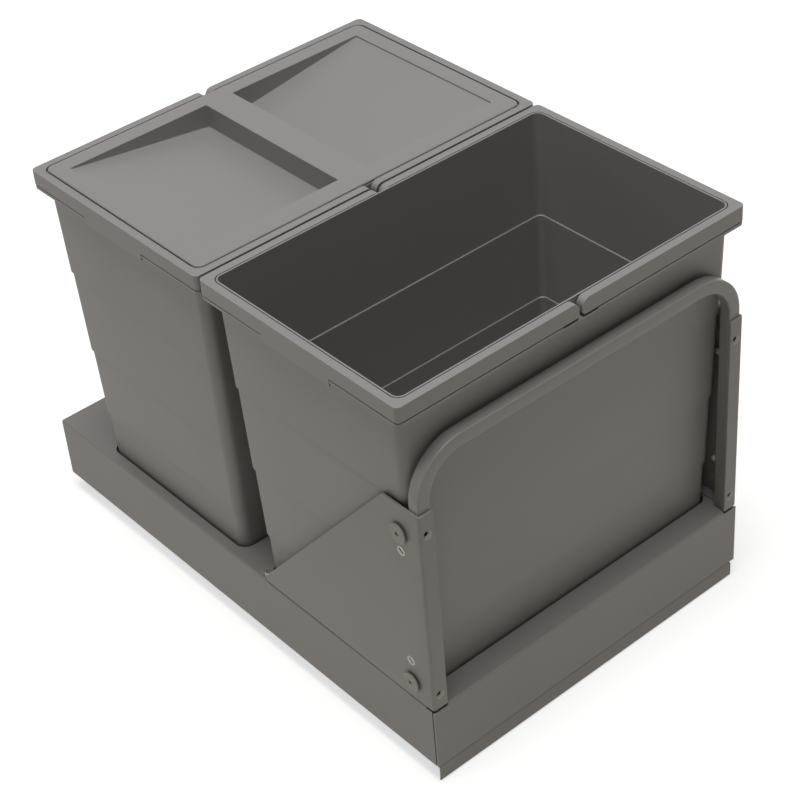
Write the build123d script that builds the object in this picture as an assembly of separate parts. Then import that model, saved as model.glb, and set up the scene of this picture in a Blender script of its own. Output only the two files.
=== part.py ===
from build123d import *
import os
from math import atan2, cos, degrees, pi, radians, tan

# Pull-out waste bin unit for a 400 mm kitchen base cabinet: two moulded bins, one behind the
# other, stand in a folded steel tray on full-extension ball runners. Side brackets and a bent
# tube bow at the front carry the cabinet's door.
# Millimetres. +X is right seen from the room, +Y goes into the cabinet, +Z is up.
# The origin lies on the cabinet floor, under the middle of the tray.

# Tray: one folded sheet, with the front wall's ends turned in behind the side walls
tray_depth = 530.0          # front face to rear edge
tray_width = 350.0          # over the side walls
tray_height = 63.0
tray_lift = 18.5            # lower edge above the cabinet floor
tray_sheet = 1.5
tray_fold = 2.0             # outside radius of its folds
corner_seam = 0.8           # open seam between front wall and side wall
corner_tab = (12.5, 4.0)    # turned-in end of the front wall: length, margin above and below
relief_side = (4.1, 9.5)    # slot in each front corner along the side fold: width, length
relief_front = (15.0, 2.2)  # slot along the front fold: length, width
relief_deep = 2.0
front_hem = 12.0            # flange under the front wall
cutout_play = 1.8           # between a bin's wall and its cut-out
cutout_corner = 11.0

# Rear rail and floor pan, welded under the top plate
rail_height = 16.0
rail_tab = (13.5, 4.0)      # turned-in ends: length, margin above and below
pan_sheet = 1.2
pan_inset = 7.8             # from the tray's sides
pan_drop = 15.0             # bins stand this far below the tray's top
pan_ends = (14.0, 30.0)     # margins to the tray's front and rear edge

# Base plate, screwed to the cabinet floor
base_clear = 4.3            # between its side walls' top and the floor pan
base_ends = (16.0, 15.0)    # its walls start behind the tray's front face and end before its rear edge
lip_inset = 2.7             # from the tray's sides
lip_clear = 1.0             # between its top and the tray's front wall
lip_setback = 1.0           # behind the tray's front face
floor_screw = 5.0           # clearance hole
floor_pattern = (260.0, 380.0)

# Ball runners
runner_short = 30.0         # shorter than the tray
runner_room = 12.7          # between a wall of the base and a side wall of the tray
runner_sheet = 1.2
runner_starts = (18.0, 15.5, 14.3)     # cabinet, middle and drawer member, behind the tray's front face
cabinet_member = (45.0, 10.2)          # height, reach of the flanges from the base wall
middle_member = (36.8, 7.1)
drawer_member = (28.0, 5.5)
middle_from_base = 3.6                 # outer side of the middle member's web from the base wall
cage_length = 255.0
cage_web = 1.4
cage_outer = (41.8, 2.1, 7.5)          # height, thickness of the ball strips, reach
cage_inner = (33.6, 2.4, 5.4)
cage_outer_from_base = 1.7
cage_inner_from_base = 5.3
cage_starts = (258.0, 22.0)            # outer cage, inner cage, behind the tray's front face

# Bins
ring_overhang = 5.5         # of the handle rings beyond the tray's sides
ring_setback = 7.0          # front bin's ring behind the tray's front face
ring_gap = 3.0              # between the two rings
rear_room = 53.0            # from the rear bin's ring to the tray's rear edge
ring_bar = 7.2
ring_height = 14.2
ring_corner = 4.5
ring_play = 0.5             # to the bin's lip
ring_edge = 0.8             # chamfered top edge
bin_height = 315.9
rest_gap = 0.3              # under the bins and under the lid
lip_thick = 1.6
lip_corner = 8.0
seat_deep = 3.2             # rebate that the lid lies in
seat_wide = 1.0
flange_under_ring = 0.8
flange_thick = 2.9
flange_inset = 0.8
grip_notch = (84.0, 3.4)    # cut-out of the flange under each grip: length, inset
hinge_dip = (36.0, 2.0)     # lowered flange under the handle ends: length, depth
wall_thick = 2.2
wall_corner = 10.0
wall_draft = 1.0            # degrees
ledge_depths = (101.2, 185.2, 257.2)   # below the rim
ledge_width = 1.6
ledge_slope = 1.0           # height over which a ledge runs in
bin_floor = 2.5
bin_foot = 3.0              # chamfer round the bin's bottom

# Handles: each bin has two half rings that swing up about moulded pins
pivot_apart = 18.4          # between the two pivots of a side
pivot_deep = 7.5            # below the rim
pivot_pin = 4.0
pivot_play = 0.1            # radial
pivot_reach = 5.5           # length of a pin
pivot_end = 0.3             # end play of a pin in its hole
handle_split = 3.2          # between the ends of the two half rings
handle_nose = (6.8, 3.5)    # rounding of the ends, above and below
handle_wall = 1.8           # the bar is a channel, open below
handle_solid = 22.0         # of each arm, from the unit's middle
handle_roof = 3.2
grip = (80.0, 2.6, 6.5)     # skirt under the cross bar: length, thickness, drop

# Lid of the rear bin
lid_play = 0.4
lid_wall = 2.2
bar_width = 29.0            # grip bar between the two recesses
recess_depths = (21.5, 1.0)  # at the bar and at the outer end
recess_margins = (24.5, 28.5, 24.3)    # from the ring's outline: outer end, front, rear

# Side brackets
bracket_sheet = 2.0
bracket_fold = 2.5
bracket_height = 201.0
bracket_top = 41.3          # level top edge
bracket_foot = 213.5        # length along the tray
bracket_heel = 7.0          # height of its rear end
bracket_lift = 1.0          # of the front flange above the tray
bracket_corner = 3.0
flange_width = 14.6
foot_width = 10.1
foot_tail = 12.5            # foot beyond the panel
door_hole_margins = (15.0, 20.0)       # from the tray's top, from the bracket's top
door_hole_inset = 7.7       # from the tray's side
door_hole = 4.2

# Bow between the brackets
bow_tube = (12.0, 11.0)     # across, front to back
bow_wall = 1.5
bow_edge = 1.2              # chamfered edges
bow_drop = 48.2             # its top below the bins' rim
bow_radius = 46.0           # outside of its bends
driver_hole = 8.0           # in the rear wall, for the screwdriver

# Adjusters and screws of the brackets
adjuster_setback = 23.5
adjuster_margins = (18.5, 27.0)        # from the tray's top, from the bracket's top
adjuster_disc = (18.3, 1.8)            # diameter, thickness
adjuster_proud = 3.0
adjuster_neck = 8.0
adjuster_play = 0.08        # radial, in the panel
adjuster_float = 0.2        # axial, on each side of the panel
adjuster_washer = (10.4, 1.3)
drive_slot = (5.0, 1.2, 1.2)           # length, width, depth
lock_offsets = (22.5, -18.5)           # above the lower adjuster, above the upper one
lock_head = (8.8, 1.8)      # diameter, height of its cone
lock_shank = (4.0, 5.2)     # diameter, length under the panel's outer face
foot_screw_places = (40.0, 5.5)        # behind the tray's front face, behind the panel's rear end
foot_screw_inset = 6.1
foot_screw_head = (6.0, 2.0)
foot_screw_shank = (2.9, 6.0)
shank_play = 0.05           # radial, of screws and rivets in their holes
rivet_margin = 60.0         # from the runners' ends; a third rivet sits between the two
rivet_head = (7.0, 1.0)
rivet_shank = 4.0
small_sides = 10            # small fasteners and their holes have few faces
disc_sides = 24

# Places that follow from the sizes above
front = -tray_depth / 2
back = tray_depth / 2
side = tray_width / 2
tray_low = tray_lift
tray_top = tray_lift + tray_height
pan_top = tray_top - pan_drop
rim = pan_top + rest_gap + bin_height
ring_length = tray_width + 2 * ring_overhang
ring_depth = (tray_depth - ring_setback - ring_gap - rear_room) / 2
front_bin_y = front + ring_setback + ring_depth / 2
rear_bin_y = front_bin_y + ring_depth + ring_gap
rim_inset = ring_bar + ring_play
seat_inset = rim_inset + lip_thick
flange_deep = ring_height + flange_under_ring
wall_start = flange_deep + flange_thick
base_side = side - tray_sheet - runner_room
base_wall = pan_top - pan_sheet - base_clear
runner_centre = base_wall - cabinet_member[0] / 2
runner_length = tray_depth - runner_short
bracket_peak = tray_top + bracket_height
door_hole_heights = (tray_top + door_hole_margins[0], bracket_peak - door_hole_margins[1])
adjuster_heights = (tray_top + adjuster_margins[0], bracket_peak - adjuster_margins[1])
lock_heights = tuple(z + offset for z, offset in zip(adjuster_heights, lock_offsets))
foot_screw_ys = (front + foot_screw_places[0], front + bracket_foot + foot_screw_places[1])
rivet_places = (rivet_margin, runner_length / 2, runner_length - rivet_margin)
reach = tray_depth + tray_width        # longer than anything that a cut has to pass


def block(x, y, z):
    """Straight block between two values on each axis."""
    spans = [sorted(pair) for pair in (x, y, z)]
    centre = [(low + high) / 2 for low, high in spans]
    return Pos(*centre) * Box(*[high - low for low, high in spans])


def rod(start, end, radius):
    """Round rod from one point to another."""
    run = Vector(*end) - Vector(*start)
    at = Plane(origin=start, z_dir=run.normalized())
    return at * Cylinder(radius, run.length, align=(Align.CENTER, Align.CENTER, Align.MIN))


def facet_rod(start, end, radius, end_radius=None, sides=small_sides):
    """Rod with flat sides, for what is small or repeats; with an end radius it tapers."""
    run = Vector(*end) - Vector(*start)
    at = Plane(origin=start, z_dir=run.normalized())
    narrowing = (radius - (end_radius or radius)) * cos(pi / sides)
    taper = degrees(atan2(narrowing, run.length))
    return extrude(at * RegularPolygon(radius, sides), amount=run.length, taper=taper)


def prism(points, direction):
    """Flat outline of 3-D points, extruded along a vector."""
    face = make_face(Polyline(*points, close=True))
    return extrude(face, amount=Vector(*direction).length, dir=direction)


def mirrored(shape):
    """The same shape on the unit's other side."""
    return mirror(shape, about=Plane.YZ)


def top_edges(shape, axis):
    """Edges of the top face that run along one axis, in order across it."""
    across = Axis.X if axis == Axis.Y else Axis.Y
    return shape.faces().sort_by(Axis.Z)[-1].edges().filter_by(axis).sort_by(across)


# ---------------------------------------------------------------- bins

def ring_slab(centre_y, inset, corner, low, high):
    """Rounded slab inside the handle ring's outline, between two depths below the rim."""
    outline = RectangleRounded(ring_length - 2 * inset, ring_depth - 2 * inset, corner)
    return extrude(Pos(0, centre_y, rim - low) * outline, amount=high - low, dir=(0, 0, -1))


def wall_inset(depth):
    """Outer face of a bin's wall inside the ring's outline, at a depth below the rim."""
    steps = sum(min(max((depth - ledge) / ledge_slope, 0), 1) for ledge in ledge_depths)
    drafted = max(depth - wall_start, 0) * tan(radians(wall_draft))
    return rim_inset + drafted + steps * ledge_width


def wall_solid(centre_y, stations, corner):
    """Solid that narrows downwards through (depth, inset) stations."""
    sections = []
    for depth, inset in stations:
        outline = RectangleRounded(ring_length - 2 * inset, ring_depth - 2 * inset, corner)
        sections.append(Pos(0, centre_y, rim - depth) * outline)
    return loft(sections, ruled=True)


def ledge_stations(rise):
    """Depths of the upper and lower edge of each ledge, raised by the wall's thickness inside."""
    return [ledge - rise + run for ledge in ledge_depths for run in (0, ledge_slope)]


def bin_tub(centre_y):
    """Moulded bin: stepped and drafted walls, flange, lip, lid seat and hinge pins."""
    foot = bin_height - bin_foot
    outer = [(d, wall_inset(d)) for d in [wall_start, *ledge_stations(0), foot]]
    outer.append((bin_height, wall_inset(foot) + bin_foot))
    body = wall_solid(centre_y, outer, wall_corner)
    body += ring_slab(centre_y, rim_inset, lip_corner, 0, wall_start)
    body += ring_slab(centre_y, flange_inset, ring_corner, flange_deep, wall_start)

    inner = [(seat_deep, seat_inset + seat_wide)]
    for depth in [*ledge_stations(wall_thick), bin_height - bin_floor]:
        inner.append((depth, wall_inset(depth + wall_thick) + wall_thick))
    body -= wall_solid(centre_y, inner, wall_corner - wall_thick)
    body -= ring_slab(centre_y, seat_inset, lip_corner - lip_thick, -1, seat_deep)

    half_x, half_y = ring_length / 2, ring_depth / 2
    heights = (rim - flange_deep, rim - wall_start)
    for end in (-1, 1):
        notch_x = (end * (half_x - grip_notch[1]), end * half_x)
        notch_y = (centre_y - grip_notch[0] / 2, centre_y + grip_notch[0] / 2)
        body -= block(notch_x, notch_y, heights)
        dip_y = (centre_y + end * (half_y - rim_inset), centre_y + end * half_y)
        dip_x = (-hinge_dip[0] / 2, hinge_dip[0] / 2)
        body -= block(dip_x, dip_y, (heights[0], heights[0] - hinge_dip[1]))
        for x in (-pivot_apart / 2, pivot_apart / 2):
            root = (x, centre_y + end * (half_y - rim_inset - lip_thick / 2), rim - pivot_deep)
            tip = (x, centre_y + end * (half_y - rim_inset + pivot_reach), rim - pivot_deep)
            body += facet_rod(root, tip, pivot_pin / 2)
    return body


def handle(centre_y):
    """Right half of a bin's handle ring: a channel section with a grip skirt."""
    bar = ring_slab(centre_y, 0, ring_corner, 0, ring_height)
    bar = chamfer(bar.faces().sort_by(Axis.Z)[-1].edges(), ring_edge)
    bar -= ring_slab(centre_y, ring_bar, lip_corner + ring_play, -1, ring_height + 1)
    half_x, half_y = ring_length / 2, ring_depth / 2
    outer_y, inner_y = half_y - handle_wall, half_y - ring_bar + handle_wall
    hollow = block((handle_solid, half_x - handle_wall), (-outer_y, outer_y), (0, rim - handle_roof))
    hollow -= block((0, half_x - ring_bar + handle_wall), (-inner_y, inner_y), (0, rim))
    bar -= Pos(0, centre_y, 0) * hollow

    nose_x, low, high = handle_split / 2, rim - ring_height, rim
    keep = block((nose_x, ring_length), (-reach, reach), (low, high))
    ends = keep.faces().sort_by(Axis.X)[0].edges().filter_by(Axis.Y).sort_by(Axis.Z)
    keep = fillet(ends[-1], handle_nose[0])
    ends = keep.faces().filter_by(Axis.X).sort_by(Axis.X)[0].edges().filter_by(Axis.Y).sort_by(Axis.Z)
    keep = chamfer(ends[0], handle_nose[1])
    bar = bar & keep

    grip_y = (centre_y - grip[0] / 2, centre_y + grip[0] / 2)
    bar += block((half_x - grip[1], half_x), grip_y, (low - grip[2], low + handle_roof))
    for end in (-1, 1):
        mouth = (pivot_apart / 2, centre_y + end * (half_y - ring_bar - 1), rim - pivot_deep)
        depth = rim_inset - pivot_reach - pivot_end
        bottom = (pivot_apart / 2, centre_y + end * (half_y - depth), rim - pivot_deep)
        bore = pivot_pin / 2 + pivot_play
        bar -= rod(mouth, bottom, bore) if end < 0 else facet_rod(mouth, bottom, bore / cos(pi / small_sides))
    return bar


def bin_lid(centre_y):
    """Lid that lies in the rear bin's rebate, with two sloped recesses beside a grip bar."""
    thick = seat_deep - rest_gap
    lid = ring_slab(centre_y, seat_inset + lid_play, lip_corner - lip_thick - lid_play, 0, thick)
    inner, end = bar_width / 2, ring_length / 2 - recess_margins[0]
    low_y = centre_y - ring_depth / 2 + recess_margins[1]
    high_y = centre_y + ring_depth / 2 - recess_margins[2]
    for wall, top in ((lid_wall, -thick / 2), (0, 1)):
        outline = [
            (inner - wall, top),
            (inner - wall, -recess_depths[0] - wall),
            (end + wall, -recess_depths[1] - wall),
            (end + wall, top),
        ]
        points = [(x, low_y - wall, rim + z) for x, z in outline]
        pocket = prism(points, (0, high_y - low_y + 2 * wall, 0))
        pockets = pocket + mirrored(pocket)
        lid = lid + pockets if wall else lid - pockets
    return lid


# ---------------------------------------------------------------- tray

def tray_frame():
    """Folded tray: top plate with two cut-outs, side walls, front wall with turned-in ends."""
    inner = side - tray_sheet
    tray = block((-side, side), (front, back), (tray_low, tray_top))
    tray = fillet(top_edges(tray, Axis.Y) + top_edges(tray, Axis.X)[:1], tray_fold)
    tray -= block((-inner, inner), (front + tray_sheet, back + 1), (tray_low - 1, tray_top - tray_sheet))
    hem_y = (front + tray_sheet / 2, front + front_hem)
    tray += block((-inner, inner), hem_y, (tray_low, tray_low + tray_sheet))
    wall_end = front + tray_sheet + corner_seam
    for hand in (-1, 1):
        seam_x = (hand * inner, hand * (side + 1))
        tray -= block(seam_x, (front + tray_sheet, wall_end), (tray_low - 1, tray_top + 1))
        slot_z = (tray_top - relief_deep, tray_top + 1)
        slot_x = (hand * (side - relief_side[0]), hand * (side + 1))
        tray -= block(slot_x, (front - 1, front + relief_side[1]), slot_z)
        slot_x = (hand * (side - relief_front[0]), hand * (side + 1))
        tray -= block(slot_x, (front - 1, front + relief_front[1]), slot_z)
        tab_x = (hand * inner, hand * (inner - tray_sheet))
        tab_z = (tray_low + corner_tab[1], tray_top - tray_sheet - corner_tab[1])
        tray += block(tab_x, (front + tray_sheet / 2, front + tray_sheet + corner_tab[0]), tab_z)
    for centre_y in (front_bin_y, rear_bin_y):
        inset = wall_inset(rim - tray_top) - cutout_play
        depth = rim - tray_top
        tray -= ring_slab(centre_y, inset, cutout_corner, depth - 1, depth + 2 * tray_sheet)
    for hand in (-1, 1):
        for y in foot_screw_ys:
            tray -= foot_screw(hand * (side - foot_screw_inset), y, shank_play)
    return tray


def rear_rail():
    """Folded strip under the tray's rear edge; its ends lie inside the side walls."""
    inner = side - tray_sheet
    under = tray_top - tray_sheet
    rail = block((-inner, inner), (back - tray_sheet, back), (under - rail_height, under))
    for hand in (-1, 1):
        tab_x = (hand * inner, hand * (inner - tray_sheet))
        tab_y = (back - tray_sheet - rail_tab[0], back - tray_sheet / 2)
        rail += block(tab_x, tab_y, (tray_low + rail_tab[1], under - rail_tab[1]))
    return rail


def floor_pan():
    """Pan that the bins stand on; its sides are welded under the tray's top plate."""
    half = side - pan_inset
    y = (front + pan_ends[0], back - pan_ends[1])
    top = tray_top - tray_sheet
    pan = block((-half, half), y, (pan_top - pan_sheet, top))
    return pan - block((pan_sheet - half, half - pan_sheet), (y[0] - 1, y[1] + 1), (pan_top, top + 1))


def foot_screw(x, y, play):
    """Pan-head screw through a bracket's foot; with play it is the hole for its shank."""
    seat = tray_top + bracket_sheet
    shank = facet_rod((x, y, seat - foot_screw_shank[1]), (x, y, seat), foot_screw_shank[0] / 2 + play)
    if play:
        return shank
    width, deep = drive_slot[1:]
    radius, top = foot_screw_head[0] / 2, seat + foot_screw_head[1]
    head = facet_rod((x, y, seat), (x, y, top), radius, radius - foot_screw_head[1] / 2)
    slot = block((x - radius, x + radius), (y - width / 2, y + width / 2), (top - deep / 2, top + 1))
    return head + shank - slot


# ---------------------------------------------------------------- brackets and bow

def bracket():
    """Right side bracket: panel with a front flange for the door and a foot on the tray."""
    low, high = tray_top, bracket_peak
    inner, tail = side - bracket_sheet, front + bracket_foot + foot_tail
    blank = block((side - flange_width, side), (front, tail), (low, high))
    upright = blank.faces().sort_by(Axis.Y)[0].edges().filter_by(Axis.Z).sort_by(Axis.X)[-1]
    blank = fillet(upright, bracket_fold)
    bottom = blank.faces().sort_by(Axis.Z)[0].edges().filter_by(Axis.Y).sort_by(Axis.X)[-1]
    blank = fillet(bottom, bracket_fold)
    blank -= block((0, inner), (front + bracket_sheet, reach), (low + bracket_sheet, high + 1))

    heel = front + bracket_foot
    slope = [
        (front + bracket_top, high),
        (heel, low + bracket_heel),
        (heel, low + bracket_sheet),
        (tail + 1, low + bracket_sheet),
        (tail + 1, high + 1),
        (front + bracket_top, high + 1),
    ]
    blank -= prism([(0, y, z) for y, z in slope], (reach, 0, 0))
    blank -= block((0, side - foot_width), (front + bracket_sheet, reach), (low - 1, low + bracket_sheet))
    blank -= block((inner, side + 1), (heel, reach), (low - 1, low + bracket_sheet))
    blank -= block((0, side + 1), (front - 1, front + relief_side[1]), (low - 1, low + bracket_lift))
    behind_bow = front + bracket_sheet + bow_tube[1] + bracket_lift
    blank -= block((0, inner), (front + bracket_sheet, behind_bow), (low - 1, low + bracket_sheet))
    peak_y = front + bracket_top
    peak = blank.edges().filter_by(Axis.X).filter_by_position(Axis.Y, peak_y - 1, peak_y + 1)
    blank = fillet(peak, bracket_corner)
    tail_edges = blank.edges().filter_by(Axis.Z).filter_by_position(Axis.Y, tail - 1, tail + 1)
    blank = fillet(tail_edges, bracket_corner)

    for z in door_hole_heights:
        x = side - door_hole_inset
        blank -= rod((x, front - 1, z), (x, front + bracket_sheet + 1, z), door_hole / 2)
    y = front + adjuster_setback
    for z in adjuster_heights:
        blank -= rod((side + 1, y, z), (inner - 1, y, z), adjuster_neck / 2 + adjuster_play)
    for z in lock_heights:
        blank -= lock_screw(z, shank_play)
    for screw_y in foot_screw_ys:
        blank -= foot_screw(side - foot_screw_inset, screw_y, shank_play)
    return blank


def lock_screw(z, play):
    """Countersunk screw through the panel; with play it is the hole for one."""
    y = front + adjuster_setback
    head, thin = lock_head[0] / 2 + play, lock_shank[0] / 2 + play
    shank = facet_rod((side, y, z), (side - lock_shank[1], y, z), thin)
    cone = facet_rod((side + 1, y, z), (side - lock_head[1], y, z), head)
    end = cone.faces().sort_by(Axis.X)[0]
    cone = chamfer(end.edges(), (head - thin) * cos(pi / small_sides), lock_head[1], reference=end)
    if play:
        return shank + cone
    length, width, deep = drive_slot
    slot = block((side - deep, side + 1), (y - width / 2, y + width / 2), (z - length / 2, z + length / 2))
    above = block((side, side + 2), (y - length, y + length), (z - length, z + length))
    return shank + cone - slot - above


def door_bow():
    """Rectangular tube with two bends, welded inside the brackets."""
    wide, deep = bow_tube
    tube = chamfer(Rectangle(wide, deep).vertices(), bow_edge)
    tube -= Rectangle(wide - 2 * bow_wall, deep - 2 * bow_wall)
    outer, y = side - bracket_sheet, front + bracket_sheet + deep / 2
    low, top = tray_top + bracket_lift, rim - bow_drop
    bend_x, bend_z = outer - bow_radius, top - bow_radius
    leg = extrude(Pos(outer - wide / 2, y, low) * tube, amount=bend_z - low)
    turn = Axis((bend_x, y, bend_z), (0, -1, 0))
    bend = revolve(Pos(outer - wide / 2, y, bend_z) * tube, turn, 90)
    start = Plane(origin=(bend_x, y, top - wide / 2), x_dir=(0, 0, 1), z_dir=(-1, 0, 0))
    bow = leg + bend + mirrored(leg + bend) + extrude(start * tube, amount=2 * bend_x)
    for x in (door_hole_inset - side, side - door_hole_inset):
        for z in door_hole_heights:
            bow -= facet_rod((x, front, z), (x, y, z), door_hole / 2 + shank_play)
            bow -= facet_rod((x, y, z), (x, y + deep, z), driver_hole / 2)
    return bow


def adjuster(z):
    """Turning disc in the right bracket: disc, neck through the panel and inner washer."""
    y = front + adjuster_setback
    inner = side - bracket_sheet
    face = side + adjuster_proud
    washer = inner - adjuster_float - adjuster_washer[1]
    rear = face - adjuster_disc[1]
    disc = facet_rod((rear, y, z), (face, y, z), adjuster_disc[0] / 2, sides=disc_sides)
    disc += rod((washer, y, z), (rear, y, z), adjuster_neck / 2)
    disc += facet_rod((washer, y, z), (inner - adjuster_float, y, z), adjuster_washer[0] / 2)
    length, width, deep = drive_slot
    for y_half, z_half in ((length / 2, width / 2), (width / 2, length / 2)):
        disc -= block((face - deep, face + 1), (y - y_half, y + y_half), (z - z_half, z + z_half))
    return disc


# ---------------------------------------------------------------- base and runners

def base_plate():
    """Folded base: floor, side walls for the runners and a front lip under the tray."""
    y = (front + base_ends[0], back - base_ends[1])
    base = block((-base_side, base_side), y, (0, base_wall))
    inside = base_side - tray_sheet
    base -= block((-inside, inside), (y[0] - 1, y[1] + 1), (tray_sheet, base_wall + 1))
    half, lip_y, lip_high = side - lip_inset, front + lip_setback, tray_low - lip_clear
    lip = block((-half, half), (lip_y, y[0]), (0, lip_high))
    lip = fillet(lip.faces().sort_by(Axis.Z)[0].edges().filter_by(Axis.X).sort_by(Axis.Y)[0], tray_fold)
    lip -= block((-half - 1, half + 1), (lip_y + tray_sheet, reach), (tray_sheet, lip_high + 1))
    top = lip.faces().sort_by(Axis.Z)[-1].edges().filter_by(Axis.Y)
    base += fillet(top, tray_fold + tray_sheet / 2)
    for x in (-floor_pattern[0] / 2, floor_pattern[0] / 2):
        for hole_y in (-floor_pattern[1] / 2, floor_pattern[1] / 2):
            base -= rod((x, hole_y, -1), (x, hole_y, tray_sheet + 1), floor_screw / 2)
    for hand in (-1, 1):
        for place in rivet_places:
            base -= base_rivet(hand, place, shank_play)
    return base


def channel(start, web, size, sheet, y):
    """Right runner part: web with two flanges, from a distance outside the base wall."""
    height, run = size
    x = base_side + start
    low, high = runner_centre - height / 2, runner_centre + height / 2
    profile = block((x, x + run), y, (low, high))
    return profile - block((x + web, reach), (y[0] - 1, y[1] + 1), (low + sheet, high - sheet))


def member_span(index):
    start = front + runner_starts[index]
    return (start, start + runner_length)


def runner_cabinet():
    """Outer member, riveted to the base wall."""
    member = channel(0, runner_sheet, cabinet_member, runner_sheet, member_span(0))
    for place in rivet_places:
        member -= base_rivet(1, place, shank_play)
    return member


def runner_middle():
    """Middle member."""
    return channel(middle_from_base, runner_sheet, middle_member, runner_sheet, member_span(1))


def runner_drawer():
    """Inner member, welded to the tray's side wall; its flanges point to the base."""
    height, run = drawer_member
    low, high = runner_centre - height / 2, runner_centre + height / 2
    x, y = side - tray_sheet, member_span(2)
    profile = block((x - run, x), y, (low, high))
    inner = (low + runner_sheet, high - runner_sheet)
    return profile - block((0, x - runner_sheet), (y[0] - 1, y[1] + 1), inner)


def ball_cage(start, size, first):
    """Cage that holds one runner's balls above and below."""
    height, strip, run = size
    y = (front + first, front + first + cage_length)
    return channel(start, cage_web, (height, run), strip, y)


def base_rivet(hand, place, play):
    """Rivet through base wall and runner web; with play it is the hole for one."""
    y, z = front + runner_starts[0] + place, runner_centre
    inside, web = base_side - tray_sheet, base_side + runner_sheet
    shank = facet_rod((hand * inside, y, z), (hand * web, y, z), rivet_shank / 2 + play)
    if play:
        return shank
    head_x = hand * (inside - rivet_head[1])
    return shank + facet_rod((head_x, y, z), (hand * inside, y, z), rivet_head[0] / 2)


# ---------------------------------------------------------------- pieces

pieces = {
    "base_plate": base_plate(),
    "base_rivets": Compound([base_rivet(hand, place, 0) for hand in (-1, 1) for place in rivet_places]),
    "tray_frame": tray_frame(),
    "rear_rail": rear_rail(),
    "floor_pan": floor_pan(),
    "door_bow": door_bow(),
    "front_bin": bin_tub(front_bin_y),
    "rear_bin": bin_tub(rear_bin_y),
    "bin_lid": bin_lid(rear_bin_y),
    "foot_screws": Compound([
        foot_screw(hand * (side - foot_screw_inset), y, 0) for hand in (-1, 1) for y in foot_screw_ys
    ]),
}
locks = [lock_screw(z, 0) for z in lock_heights]
pieces["lock_screws"] = Compound(locks + [mirrored(screw) for screw in locks])

right_pieces = {
    "runner_cabinet": runner_cabinet(),
    "runner_middle": runner_middle(),
    "runner_drawer": runner_drawer(),
    "cage_outer": ball_cage(cage_outer_from_base, cage_outer, cage_starts[0]),
    "cage_inner": ball_cage(cage_inner_from_base, cage_inner, cage_starts[1]),
    "bracket": bracket(),
    "adjuster_lower": adjuster(adjuster_heights[0]),
    "adjuster_upper": adjuster(adjuster_heights[1]),
    "front_handle": handle(front_bin_y),
    "rear_handle": handle(rear_bin_y),
}
for name, shape in right_pieces.items():
    pieces[f"{name}_right"] = shape
    pieces[f"{name}_left"] = mirrored(shape)

os.makedirs("parts", exist_ok=True)
for name, shape in pieces.items():
    export_step(shape, f"parts/{name}.step")
    print(f"{name}: volume {shape.volume:.0f} mm3")
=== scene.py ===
"""Pull-out waste bin unit: two moulded bins in a folded steel tray on ball runners, with side
brackets and a bent tube bow at the front for the cabinet's door."""
import bmesh
import bpy
from math import copysign, pi, radians
from mathutils import Matrix, Vector


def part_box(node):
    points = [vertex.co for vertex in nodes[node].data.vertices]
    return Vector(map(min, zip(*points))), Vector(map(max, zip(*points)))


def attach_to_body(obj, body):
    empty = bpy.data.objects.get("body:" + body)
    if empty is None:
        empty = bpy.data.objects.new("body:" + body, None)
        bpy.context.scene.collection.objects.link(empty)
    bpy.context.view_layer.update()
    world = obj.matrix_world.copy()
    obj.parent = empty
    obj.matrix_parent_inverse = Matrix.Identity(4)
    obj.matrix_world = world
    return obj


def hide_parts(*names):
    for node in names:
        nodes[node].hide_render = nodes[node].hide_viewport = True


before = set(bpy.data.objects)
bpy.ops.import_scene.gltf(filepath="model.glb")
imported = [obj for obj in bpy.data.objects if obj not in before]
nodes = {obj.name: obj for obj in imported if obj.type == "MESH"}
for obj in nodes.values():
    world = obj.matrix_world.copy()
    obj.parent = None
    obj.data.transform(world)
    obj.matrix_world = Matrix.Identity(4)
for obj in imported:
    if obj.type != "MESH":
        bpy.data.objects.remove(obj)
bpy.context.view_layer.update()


# ---------------------------------------------------------------- base plate and floor pan
# The base is folded from 1.5 mm sheet steel and screwed to the cabinet floor; the pan that
# carries the bins is 1.2 mm sheet, welded under the tray. Both have the unit's warm grey
# powder coat, baked on after folding, with a fine even grain.

# Corners within a hair of a place count as there, and within merge_reach as one corner.
mm = 0.001
hair, merge_reach, on_plane = 0.01 * mm, 0.001 * mm, 0.0001 * mm
powder_grey = (0.272, 0.250, 0.230)
grain_height, grain_detail = 0.1 * mm, 2.0
drifts_per_metre, drift_detail = 7.0, 3.0
# Reach and strength of the edge mask. It paints edges lighter, partly as wear and partly as a
# painted highlight.
wear_and_sheen_radius, wear_and_sheen_samples, wear_and_sheen_sharpness = 0.7 * mm, 4, 6.0
rough_spread = 0.05
fold_angle = radians(20)
base_low, base_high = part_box("base_plate")
base_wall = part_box("runner_cabinet_right")[0].x
kerb_end, kerb_back = base_high.x, base_low.y + 3.0 * mm
kerb_top, kerb_corner, kerb_drop = 17.5 * mm, 2.75 * mm, 0.8 * mm


def new_group(name, inputs, outputs):
    """Shader group with the given sockets; returns its tree and its end nodes."""
    tree = bpy.data.node_groups.new(name, "ShaderNodeTree")
    for way, sockets in (("INPUT", inputs), ("OUTPUT", outputs)):
        for socket, kind in sockets:
            tree.interface.new_socket(socket, in_out=way, socket_type=f"NodeSocket{kind}")
    return tree, tree.nodes.new("NodeGroupInput"), tree.nodes.new("NodeGroupOutput")


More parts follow.
